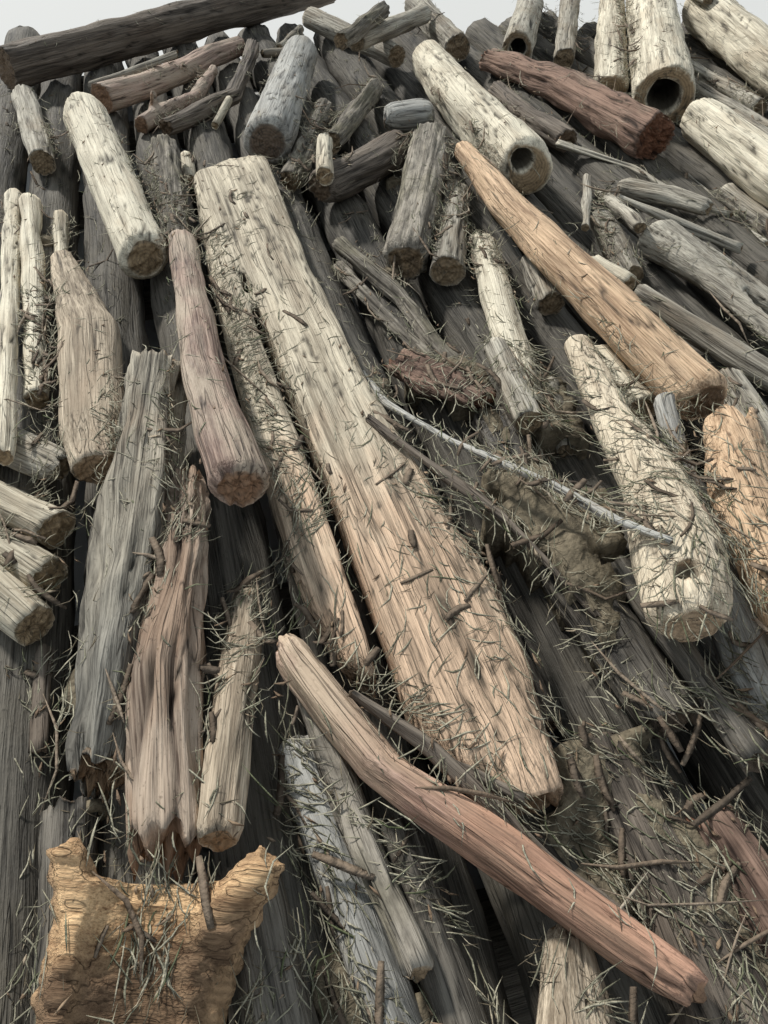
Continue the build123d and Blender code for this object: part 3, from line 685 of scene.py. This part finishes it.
# Light streaks, dark streaks, patches and cut ends of each wood, and what differs from the usual
WOOD_COLOURS = {
    # Hidden logs deep in the heap are coloured near black: painted shade
    "hidden_log": dict(
        light=(0.17, 0.155, 0.13), dark=(0.04, 0.036, 0.03),
        patch=(0.1, 0.085, 0.06), heart=(0.14, 0.11, 0.08)),
    "wet_dark_wood": dict(
        light=(0.2, 0.18, 0.15), dark=(0.045, 0.04, 0.034),
        patch=(0.15, 0.12, 0.085), heart=(0.16, 0.12, 0.085),
        gloss=0.55),
    "grey_weathered_wood": dict(
        light=(0.58, 0.54, 0.45), dark=(0.18, 0.16, 0.13),
        patch=(0.3, 0.24, 0.17), heart=(0.32, 0.24, 0.15),
        gloss=0.8),
    "dark_brown_wood": dict(
        light=(0.24, 0.2, 0.16), dark=(0.06, 0.048, 0.038),
        patch=(0.15, 0.11, 0.08), heart=(0.2, 0.14, 0.09),
        gloss=0.7),
    "red_rotten_wood": dict(
        light=(0.34, 0.225, 0.17), dark=(0.075, 0.045, 0.034),
        patch=(0.32, 0.25, 0.19), heart=(0.26, 0.12, 0.07),
        gloss=0.85),
    "cream_bleached_wood": dict(
        light=(0.84, 0.77, 0.61), dark=(0.36, 0.31, 0.23),
        patch=(0.56, 0.46, 0.33), heart=(0.48, 0.35, 0.21)),
    "pink_brown_wood": dict(
        light=(0.52, 0.38, 0.3), dark=(0.15, 0.095, 0.075),
        patch=(0.46, 0.38, 0.29), heart=(0.38, 0.23, 0.14),
        gloss=0.6, patches=0.8),
    "bark_covered_wood": dict(
        light=(0.4, 0.36, 0.3), dark=(0.1, 0.088, 0.07),
        patch=(0.22, 0.2, 0.12), heart=(0.36, 0.26, 0.16),
        gloss=0.85, bark=0.5),
    "orange_tan_wood": dict(
        light=(0.8, 0.575, 0.375), dark=(0.33, 0.21, 0.125),
        patch=(0.56, 0.45, 0.32), heart=(0.2, 0.125, 0.07),
        gloss=0.65, patches=0.3),
    "stump_wood": dict(
        light=(0.86, 0.59, 0.33), dark=(0.3, 0.17, 0.085),
        patch=(0.4, 0.25, 0.14), heart=(0.5, 0.33, 0.19),
        gloss=0.85, patches=0.6, near=near_tint(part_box("stump_chunk"), (0.13, 0.08, 0.052), 0.7, 0.12)),
    # rot_log's darker near half is painted shade as well as dark rot
    "rot_wood": dict(
        light=(0.5, 0.45, 0.36), dark=(0.09, 0.08, 0.065),
        patch=(0.27, 0.2, 0.14), heart=(0.3, 0.2, 0.12),
        gloss=0.9, near=near_tint(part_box("rot_log"), (0.27, 0.26, 0.23), 0.55, 0.35)),
    "split_brown_wood": dict(
        light=(0.5, 0.4, 0.31), dark=(0.1, 0.068, 0.05),
        patch=(0.34, 0.23, 0.16), heart=(0.3, 0.18, 0.11),
        gloss=0.85, patches=0.7),
    "knot_wood": dict(
        light=(0.76, 0.66, 0.5), dark=(0.4, 0.32, 0.23),
        patch=(0.6, 0.5, 0.37), heart=(0.6, 0.44, 0.29),
        gloss=0.7, patches=0.3),
    "bow_wood": dict(
        light=(0.74, 0.54, 0.44), dark=(0.17, 0.085, 0.06),
        patch=(0.64, 0.5, 0.36), heart=(0.38, 0.23, 0.14),
        gloss=0.55, patches=0.9, near=near_tint(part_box("bow_log"), (0.6, 0.33, 0.22), 0.7, 0.3)),
    "stringy_rotten_wood": dict(
        light=(0.46, 0.4, 0.31), dark=(0.08, 0.068, 0.054),
        patch=(0.27, 0.18, 0.12), heart=(0.3, 0.2, 0.12),
        gloss=0.9),
    "split_slab_wood": dict(
        light=(0.78, 0.69, 0.53), dark=(0.31, 0.26, 0.19),
        patch=(0.5, 0.41, 0.3), heart=(0.3, 0.19, 0.11),
        patches=0.4, near=near_tint(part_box("split_slab"), (0.9, 0.62, 0.42), 0.42, 0.25)),
    "smooth_grey_wood": dict(
        light=(0.5, 0.49, 0.45), dark=(0.19, 0.185, 0.17),
        patch=(0.32, 0.275, 0.21), heart=(0.2, 0.15, 0.11),
        gloss=0.6),
    "tan_wood": dict(
        light=(0.68, 0.57, 0.43), dark=(0.24, 0.19, 0.135),
        patch=(0.45, 0.34, 0.24), heart=(0.4, 0.27, 0.16)),
    # The bearers under the heap are coloured near black too: painted shade
    "bearer_wood": dict(
        light=(0.17, 0.15, 0.12), dark=(0.045, 0.038, 0.03),
        patch=(0.1, 0.08, 0.055), heart=(0.14, 0.11, 0.08),
        own_grain=False),
}

# Three colours of each kind of litter
LITTER_COLOURS = {
    "reed": ((0.17, 0.165, 0.115), (0.44, 0.41, 0.31), (0.09, 0.11, 0.05)),
    "straw": ((0.27, 0.23, 0.155), (0.14, 0.115, 0.08), (0.52, 0.46, 0.34)),
    "stick": ((0.16, 0.115, 0.08), (0.3, 0.24, 0.18), (0.42, 0.37, 0.29)),
    "chip": ((0.36, 0.26, 0.17), (0.18, 0.125, 0.085), (0.5, 0.42, 0.31)),
    "bark": ((0.12, 0.09, 0.065), (0.22, 0.17, 0.125), (0.07, 0.055, 0.042)),
    "duff": ((0.115, 0.095, 0.066), (0.21, 0.175, 0.12), (0.065, 0.054, 0.038)),
}

FINISHES = {name: wood_finish(name, **colours) for name, colours in WOOD_COLOURS.items()}
FINISHES |= {name: litter_finish(name, *colours) for name, colours in LITTER_COLOURS.items()}

SLOT_OF = {entry["node"]: entry["material_slot"] for entry in frame["record"]["subparts"]}


def logs_of(node, number):
    """The logs that replace a CAD node, one for each of its solids. The bearers stay as they are."""
    slot = SLOT_OF[node]
    finish = FINISHES[OWN_FINISH.get(node, slot)]
    frame["nodes"][node].data.materials.clear()
    frame["nodes"][node].data.materials.append(finish)
    if node == "bearers":
        return []
    wood = ROUGHER.get(node, WOODS[slot])
    paler = PALER.get(node, 0.0)
    logs = []
    for index, solid in enumerate(solids_of(node)):
        name = f"{node}_{index + 1}"
        seed = 100 * number + 7 * index + 11
        if node in SKINNED:
            made = skinned(name, solid, wood, seed, paler, SKINNED[node])
        elif node == "bed_logs":
            made = log_tube(name, solid, wood, seed, paler, STEP_ALONG_HIDDEN, AROUND_HIDDEN)
        else:
            made = log_tube(name, solid, wood, seed, paler, STEP_ALONG)
        made.data.materials.append(finish)
        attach(made, "root")
        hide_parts(node)
        logs.append(made)
    return logs


def heights_over(objects, low, high):
    """The heap's top over a grid in plan, as a map, with the gaps between samples closed."""
    cells = np.ceil((high - low)[:2] / HEIGHT_CELL).astype(int) + 2
    top = np.zeros(cells)
    for shown in objects:
        place = np.empty(len(shown.data.vertices) * 3)
        shown.data.vertices.foreach_get("co", place)
        place = place.reshape(-1, 3)
        cell = ((place[:, :2] - low[:2]) / HEIGHT_CELL).astype(int)
        np.maximum.at(top, (cell[:, 0], cell[:, 1]), place[:, 2])
    for _ in range(GAP_CLOSINGS):
        grown = top.copy()
        for axis in (0, 1):
            for shift in (-1, 1):
                grown = np.maximum(grown, np.roll(top, shift, axis) - GAP_SLOPE)
        top = np.where(top > grown - GAP_STEP, top, grown)
    return top


def height_at(top, low, x, y):
    """The map's height at places in plan."""
    i = np.clip(((x - low[0]) / HEIGHT_CELL).astype(int), 0, top.shape[0] - 1)
    j = np.clip(((y - low[1]) / HEIGHT_CELL).astype(int), 0, top.shape[1] - 1)
    return top[i, j]


def litter_level(top):
    """How high the duff stands, on a coarse grid: the blurred top less its depth, never over the bed logs.
    Beside it, the highest point of each coarse cell."""
    rows, columns = (np.array(top.shape) // DUFF_CELLS) * DUFF_CELLS
    cells = top[:rows, :columns].reshape(rows // DUFF_CELLS, DUFF_CELLS, -1, DUFF_CELLS)
    level = cells.mean((1, 3))
    for _ in range(DUFF_BLURS):
        level = sum([np.roll(level, shift, axis) for axis in (0, 1) for shift in (1, -1)], level) / 5
    return np.minimum(level - DUFF_DEPTH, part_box("bed_logs")[1][2]), cells.max((1, 3))


def mound_at(x, y):
    """How much of the litter mound is at a place, 1 at its middle: a bell curve, longer along Y."""
    across = (x - MOUND_PLACE[0]) / MOUND_SPREAD[0]
    along = (y - MOUND_PLACE[1]) / MOUND_SPREAD[1]
    return np.exp(-(across**2 + along**2))


def spread(open_cells):
    """The marked cells and their neighbours on all eight sides."""
    rows = open_cells | np.roll(open_cells, 1, 0) | np.roll(open_cells, -1, 0)
    return rows | np.roll(rows, 1, 1) | np.roll(rows, -1, 1)


def duff_bed(level, peaks, low):
    """The duff in the gaps: z = max(level + lumps + MOUND_RISE * mound, DUFF_FLOOR) over the plan cells that
    the logs leave open, and two cells under the logs beside them, closed by a flat underside and by walls.
    """
    rows, columns = level.shape
    i, j = np.meshgrid(np.arange(rows), np.arange(columns), indexing="ij")
    cell = HEIGHT_CELL * DUFF_CELLS
    x, y = low[0] + (i + 0.5) * cell, low[1] + (j + 0.5) * cell
    places = np.column_stack([x.ravel(), y.ravel(), np.zeros(x.size)])
    lumps = DUFF_LUMP * field(places, (0.3, 0.3, 1), 91) + DUFF_SMALL_LUMP * field(places, (0.1, 0.1, 1), 92)
    lumps += np.random.default_rng(94).normal(0, DUFF_GRIT, len(lumps))
    z = np.maximum(level + lumps.reshape(level.shape) + MOUND_RISE * mound_at(x, y), DUFF_FLOOR)
    carried = ~spread(spread((peaks < RIM_HEIGHT) | (level < DUFF_FLOOR + GAP_STEP)))
    shown = spread(spread((peaks < z + DUFF_RISES) & carried)) & carried
    number = i * columns + j
    corner = number[:-1, :-1][shown[:-1, :-1] & shown[1:, :-1] & shown[1:, 1:] & shown[:-1, 1:]]
    quads = np.stack([corner, corner + columns, corner + columns + 1, corner + 1], 1)
    edges = np.stack([quads, np.roll(quads, -1, 1)], -1).reshape(-1, 2)
    count = level.size
    rim = edges[~np.isin(edges @ [count, 1], edges @ [1, count])]
    walls = np.column_stack([rim[:, 1], rim[:, 0], rim[:, 0] + count, rim[:, 1] + count])
    faces = np.vstack([quads, quads[:, ::-1] + count, walls])
    used, loops = np.unique(faces, return_inverse=True)
    under = np.full(count, DUFF_FLOOR - DUFF_THICKNESS)
    points = np.column_stack([np.tile(x.ravel(), 2), np.tile(y.ravel(), 2), np.r_[z.ravel(), under]])
    points = points[used]
    tint = np.random.default_rng(93).uniform(size=len(points))
    starts = np.arange(len(faces)) * 4
    made = new_mesh("duff_bed", points, loops.reshape(-1), starts, points, tint, np.zeros(len(points)))
    made.data.materials.append(FINISHES["duff"])
    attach(made, "root")
    return np.where(shown, z, 0)


def soiled_and_shaded(objects, duff, low):
    """Dirt and painted shade on the logs just above the duff: the crack mark rises to DIRT_AND_SHADE_MOST
    where a log meets it.
    """
    cell = HEIGHT_CELL * DUFF_CELLS
    for shown in objects:
        count = len(shown.data.vertices)
        place, mark = np.empty(count * 3), np.empty(count)
        shown.data.vertices.foreach_get("co", place)
        place = place.reshape(-1, 3)
        i = np.clip(((place[:, 0] - low[0]) / cell).astype(int), 0, duff.shape[0] - 1)
        j = np.clip(((place[:, 1] - low[1]) / cell).astype(int), 0, duff.shape[1] - 1)
        dirt_and_shade = DIRT_AND_SHADE_MOST * np.clip(1.1 - (place[:, 2] - duff[i, j]) / DIRT_AND_SHADE_REACH, 0, 1)
        dirt_and_shade *= KNOT_LOG_DIRT_AND_SHADE if shown.name.startswith("knot_log") else 1
        dirt_and_shade *= np.clip(0.8 + 0.5 * field(place, (0.12, 0.12, 0.12), 95), 0, 1)
        shown.data.attributes["crack"].data.foreach_get("value", mark)
        shown.data.attributes["crack"].data.foreach_set("value", np.maximum(mark, dirt_and_shade))


def strands(kind, top, low, high, count, reach, width, flatness, bend, seed, sides=3, knots=4,
            on_top=0.006, heaped=1.6, blunt=0.2):
    """Strands that lie on the heap. Length, width, heading, bend and tilt are drawn for each. With s from
    -0.5 to 0.5 along a strand and a the angle of a corner of its section:

    turn = heading + bend * s, where headings drift slowly about the way that the logs lie
    spine = middle + length * s * (cos turn, sin turn), on the heap's top or bridging its gaps
    corner = spine + width * taper / 2 * (cos a * sideways + flatness * sin a * up)

    on_top says how many lie on the logs rather than in the gaps, heaped how many go to the mound, and blunt
    how wide their ends stay.
    """
    rng = np.random.default_rng(seed)
    x, y = rng.uniform(low[0], high[0], 10 * count), rng.uniform(low[1], high[1], 10 * count)
    height = height_at(top, low, x, y)
    beside = ((GAP_REACH, 0), (-GAP_REACH, 0), (0, GAP_REACH), (0, -GAP_REACH))
    around = np.mean([height_at(top, low, x + dx, y + dy) for dx, dy in beside], 0)
    gap = np.clip((around - height) * GAP_WEIGHT, on_top, 2)
    weight = (height > RIM_HEIGHT) * (gap + heaped * mound_at(x, y) * np.clip(gap + 0.12, 0, 1))
    keep = np.argsort(rng.uniform(size=len(x)) ** (1 / np.maximum(weight, 1e-6)))[-count:]
    x, y = x[keep], y[keep]
    length = rng.uniform(*reach, count)
    wide = rng.uniform(*width, count)
    drift = field(np.column_stack([x, y, np.zeros(count)]), (0.45, 0.45, 1), seed)
    heading = np.pi / 2 + HEADING_DRIFT * drift + rng.normal(0, HEADING_SCATTER, count)
    tilt = rng.normal(0, TILT_SCATTER, count)
    steps = np.linspace(-0.5, 0.5, knots)
    turn = heading[:, None] + rng.normal(0, bend, count)[:, None] * steps
    px = x[:, None] + length[:, None] * steps * np.cos(turn)
    py = y[:, None] + length[:, None] * steps * np.sin(turn)
    surface = height_at(top, low, px, py)
    middle = height_at(top, low, x, y)[:, None]
    bridge = BRIDGE_SLOPE * np.abs(steps) * length[:, None]
    pz = np.clip(surface, middle - bridge, middle + bridge)
    pz = np.maximum(pz, middle + (tilt * length)[:, None] * steps) + wide[:, None] * flatness * 0.5
    taper = np.clip(1.15 - np.abs(steps) ** 2 * 4, blunt, 1)
    angle = 2 * np.pi * np.arange(sides) / sides
    sideways = np.stack([-np.sin(turn), np.cos(turn), np.zeros_like(turn)], -1)
    half = (wide[:, None] * taper / 2)[..., None, None]
    spine = np.stack([px, py, np.minimum(pz, high[2] + 0.005)], -1)
    up = np.array([0, 0, 1.0])
    corner = np.cos(angle)[:, None] * sideways[:, :, None] + np.sin(angle)[:, None] * up * flatness
    points = (spine[:, :, None] + half * corner).reshape(-1, 3)
    base = (np.arange(count) * knots * sides)[:, None]
    i, j = (grid.ravel() for grid in np.meshgrid(np.arange(knots - 1), np.arange(sides), indexing="ij"))
    k = (j + 1) % sides
    quads = np.stack([i * sides + j, i * sides + k, (i + 1) * sides + k, (i + 1) * sides + j], -1)
    quads = quads.ravel()[None] + base
    ends = np.r_[np.arange(sides)[::-1], (knots - 1) * sides + np.arange(sides)][None] + base
    loops = np.concatenate([quads, ends], 1).ravel()
    sizes = np.tile(np.r_[np.full(len(i), 4), [sides, sides]], count)
    starts = np.r_[0, np.cumsum(sizes)[:-1]]
    tint = np.repeat(rng.uniform(size=count), knots * sides)
    made = new_mesh(f"{kind}_litter", points, loops, starts, points, tint, np.zeros(len(points)))
    made.data.materials.append(FINISHES[kind])
    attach(made, "root")


logs = [log for number, node in enumerate(sorted(frame["nodes"])) for log in logs_of(node, number)]
low, high = (np.array(corner) for corner in size_loaded)
top = heights_over(logs, low, high)
level, peaks = litter_level(top)
duff = duff_bed(level, peaks, low)
# Dirt and painted shade on the logs where they meet the duff
soiled_and_shaded(logs, duff, low)
fine_duff = np.repeat(np.repeat(duff, DUFF_CELLS, 0), DUFF_CELLS, 1)
covered = top[:fine_duff.shape[0], :fine_duff.shape[1]]
np.maximum(covered, fine_duff, out=covered)
for kind, shape in LITTER.items():
    strands(kind, top, low, high, **shape)


def plane(name, size, height):
    """A square floor, from -size to size both ways, at a height."""
    mesh = bpy.data.meshes.new(name)
    corners = [(-size, -size, height), (size, -size, height), (size, size, height), (-size, size, height)]
    mesh.from_pydata(corners, [], [(0, 1, 2, 3)])
    return placed(name, mesh)


# Floor, light and camera
ground = Finish("pale_floor")
ground.set(ground.surface.inputs["Base Color"], painted(FLOOR_COLOUR))
ground.set(ground.surface.inputs["Roughness"], 0.9)
floor = plane("floor", FLOOR_SIZE, FLOOR_HEIGHT)
floor.data.materials.append(ground.material)

scene = bpy.context.scene
scene.view_settings.view_transform = "Standard"
world = bpy.data.worlds.new("studio")
scene.world = world
world.use_nodes = True
nodes, links = world.node_tree.nodes, world.node_tree.links
light = nodes["Background"]
light.inputs["Color"].default_value = painted(SKY_COLOUR)
light.inputs["Strength"].default_value = SKY_STRENGTH
backdrop = nodes.new("ShaderNodeBackground")
backdrop.inputs["Color"].default_value = painted(BACKDROP_COLOUR)
seen = nodes.new("ShaderNodeLightPath")
sky = nodes.new("ShaderNodeMixShader")
links.new(seen.outputs["Is Camera Ray"], sky.inputs[0])
links.new(light.outputs[0], sky.inputs[1])
links.new(backdrop.outputs[0], sky.inputs[2])
links.new(sky.outputs[0], nodes["World Output"].inputs["Surface"])

key = bpy.data.lights.new("key", "SUN")
key.energy = SUN_STRENGTH
key.angle = math.radians(SUN_WIDTH)
key.color = SUN_COLOUR
key_light = bpy.data.objects.new("key", key)
key_light.rotation_euler = (math.radians(SUN_SLANT[0]), math.radians(SUN_SLANT[1]), 0)
bpy.context.collection.objects.link(key_light)

lens = bpy.data.cameras.new("camera")
lens.lens = FOCAL_LENGTH
lens.sensor_width = 36
lens.clip_start = 0.05
camera = bpy.data.objects.new("camera", lens)
camera.location = CAMERA_PLACE
camera.rotation_euler = (math.radians(90 - CAMERA_PITCH), 0, math.radians(-CAMERA_TURN))
bpy.context.collection.objects.link(camera)
scene.camera = camera
